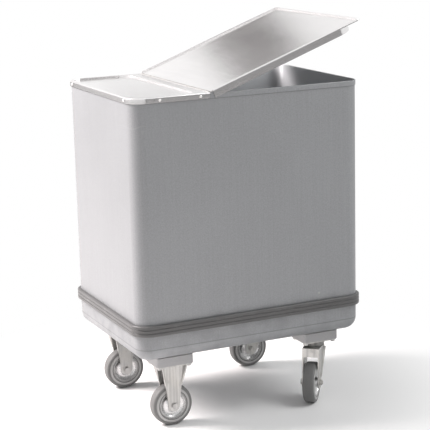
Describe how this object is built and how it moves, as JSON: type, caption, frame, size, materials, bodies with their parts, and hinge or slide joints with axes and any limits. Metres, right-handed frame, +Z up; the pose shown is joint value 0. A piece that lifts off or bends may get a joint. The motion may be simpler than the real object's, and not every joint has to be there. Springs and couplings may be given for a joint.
{
  "type": "wheeled metal bin",
  "caption": "Wheeled sheet-metal bin: round-cornered body, rubber bumper, fixed end cover, hinged lid with grip lip, fixed and swivel castors.",
  "frame": {"origin": "on the floor, under the middle of the body", "axes": "+Z up, +X along the body from the fixed cover towards the lid's grip lip, +Y across the body"},
  "size_m": [0.596, 0.4428, 0.9309],
  "materials": {
    "body_sheet": "matt grained sheet, mid grey",
    "lid_sheet": "pale satin sheet",
    "frame_metal": "plain mill finish, hidden",
    "trim_metal": "bright satin",
    "rivet_metal": "bright",
    "pad_metal": "dull grey",
    "zinc": "bright zinc plating",
    "race_metal": "darker zinc plating, greased",
    "wheel_metal": "bright pressed disc",
    "tyre_rubber": "grey matt",
    "bumper_rubber": "dark grey matt, ribbed"
  },
  "bodies": {
    "bin": {"body_shell": "body_sheet", "base_tub": "body_sheet", "joint_frame": "frame_metal", "joint_rivets": "frame_metal", "bumper_rail": "frame_metal", "bumper_strip": "bumper_rubber", "bumper_clip": "trim_metal", "side_rivet": "rivet_metal", "fixed_cover": "lid_sheet", "cover_rivets": "rivet_metal", "hinge_leaf_cover": "trim_metal", "hinge_pin": "trim_metal", "hinge_rivets_cover": "rivet_metal", "castor_bolts": "zinc", "castor_nuts": "zinc", "castor_pad_rigid_near": "pad_metal", "castor_pad_rigid_far": "pad_metal", "castor_pad_swivel_near": "pad_metal", "castor_pad_swivel_far": "pad_metal", "rigid_fork_near": "zinc", "rigid_fork_far": "zinc", "swivel_plate_near": "zinc", "swivel_plate_far": "zinc", "swivel_race_near": "race_metal", "swivel_race_far": "race_metal", "kingpin_near": "race_metal", "kingpin_far": "race_metal", "sleeve_rigid_near": "zinc", "sleeve_rigid_far": "zinc", "axle_bolt_rigid_near": "zinc", "axle_bolt_rigid_far": "zinc", "axle_nut_rigid_near": "zinc", "axle_nut_rigid_far": "zinc"},
    "lid_body": {"lid": "lid_sheet", "hinge_leaf_lid": "trim_metal", "hinge_rivets_lid": "rivet_metal"},
    "swivel_near": {"swivel_fork_near": "zinc", "sleeve_swivel_near": "zinc", "axle_bolt_swivel_near": "zinc", "axle_nut_swivel_near": "zinc"},
    "swivel_far": {"swivel_fork_far": "zinc", "sleeve_swivel_far": "zinc", "axle_bolt_swivel_far": "zinc", "axle_nut_swivel_far": "zinc"},
    "wheel_body_rigid_near": {"tyre_rigid_near": "tyre_rubber", "wheel_rigid_near": "wheel_metal"},
    "wheel_body_rigid_far": {"tyre_rigid_far": "tyre_rubber", "wheel_rigid_far": "wheel_metal"},
    "wheel_body_swivel_near": {"tyre_swivel_near": "tyre_rubber", "wheel_swivel_near": "wheel_metal"},
    "wheel_body_swivel_far": {"tyre_swivel_far": "tyre_rubber", "wheel_swivel_far": "wheel_metal"}
  },
  "joints": [
    {"name": "lid_hinge", "type": "hinge", "parent": "bin", "child": "lid_body", "pos_m": [-0.098, 0, 0.7857], "axis": [0, -1, 0], "range_deg": [-20, 100]},
    {"name": "swivel_near_turn", "type": "hinge", "parent": "bin", "child": "swivel_near", "pos_m": [0.19, -0.152, 0.13], "axis": [0, 0, 1], "continuous": true},
    {"name": "swivel_far_turn", "type": "hinge", "parent": "bin", "child": "swivel_far", "pos_m": [0.19, 0.152, 0.13], "axis": [0, 0, 1], "continuous": true},
    {"name": "wheel_rigid_near_spin", "type": "hinge", "parent": "bin", "child": "wheel_body_rigid_near", "pos_m": [-0.195, -0.152, 0.05], "axis": [0, 1, 0], "continuous": true},
    {"name": "wheel_rigid_far_spin", "type": "hinge", "parent": "bin", "child": "wheel_body_rigid_far", "pos_m": [-0.195, 0.152, 0.05], "axis": [0, 1, 0], "continuous": true},
    {"name": "wheel_swivel_near_spin", "type": "hinge", "parent": "swivel_near", "child": "wheel_body_swivel_near", "pos_m": [0.16814, -0.17805, 0.05], "axis": [0.766, -0.6428, 0], "continuous": true},
    {"name": "wheel_swivel_far_spin", "type": "hinge", "parent": "swivel_far", "child": "wheel_body_swivel_far", "pos_m": [0.156, 0.152, 0.05], "axis": [0, -1, 0], "continuous": true}
  ]
}
